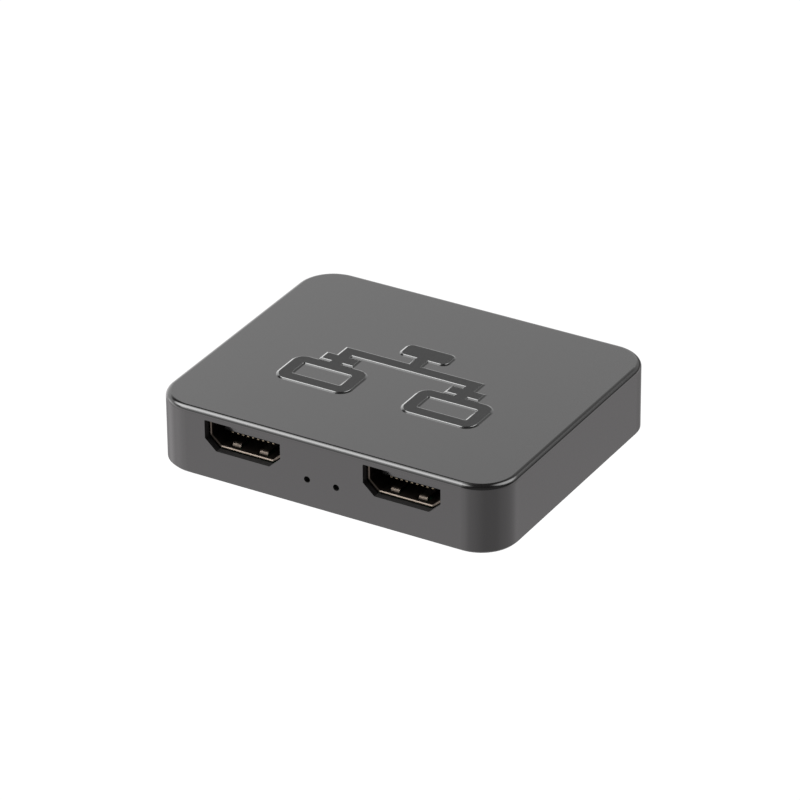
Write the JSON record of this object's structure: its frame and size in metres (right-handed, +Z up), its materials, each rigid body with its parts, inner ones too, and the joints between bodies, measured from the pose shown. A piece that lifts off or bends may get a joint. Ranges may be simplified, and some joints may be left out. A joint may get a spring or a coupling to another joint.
{
  "type": "video splitter",
  "caption": "Low slab case with rounded corners, video output sockets and indicator holes in front, a video input and a power socket behind, and a populated circuit board inside.",
  "frame": {"origin": "middle of the underside", "axes": "+X along the output face, to the right as seen from the outputs; +Y from the outputs to the input; +Z up"},
  "size_m": [0.068, 0.056, 0.0132],
  "materials": {
    "case_plastic": "dark grey moulded plastic with a fine glossy skin, matte on the raised mark",
    "cover_plastic": "dark grey moulded plastic with a fine spark texture",
    "screw_steel": "zinc plated",
    "board_green": "glass-fibre laminate with green solder mask",
    "socket_metal": "warm nickel plated sheet",
    "socket_plastic": "black glass-filled moulding",
    "contact_gold": "gold plated",
    "light_white": "white moulded resin",
    "light_lens": "clear resin",
    "chip_black": "moulded epoxy",
    "tin": "matte tinned",
    "ceramic_beige": "fired ceramic",
    "ferrite_grey": "pressed ferrite",
    "fuse_green": "coated polymer"
  },
  "bodies": {
    "root": {"top_case": "case_plastic", "bottom_cover": "cover_plastic", "case_screws": "screw_steel", "main_board": "board_green", "output_1_shell": "socket_metal", "output_1_insulator": "socket_plastic", "output_1_contacts": "contact_gold", "output_2_shell": "socket_metal", "output_2_insulator": "socket_plastic", "output_2_contacts": "contact_gold", "input_shell": "socket_metal", "input_insulator": "socket_plastic", "input_contacts": "contact_gold", "power_shell": "socket_metal", "power_insulator": "socket_plastic", "power_contacts": "contact_gold", "light_bodies": "light_white", "light_lenses": "light_lens", "splitter_chip": "chip_black", "splitter_chip_leads": "tin", "memory_chip": "chip_black", "memory_chip_leads": "tin", "regulator": "chip_black", "regulator_leads": "tin", "clock_crystal": "ceramic_beige", "clock_crystal_lid": "tin", "choke_core": "ferrite_grey", "choke_terminals": "tin", "fuse": "fuse_green", "bulk_capacitors": "ceramic_beige", "small_capacitors": "ceramic_beige", "resistors": "chip_black", "tinned_ends": "tin"}
  },
  "joints": []
}
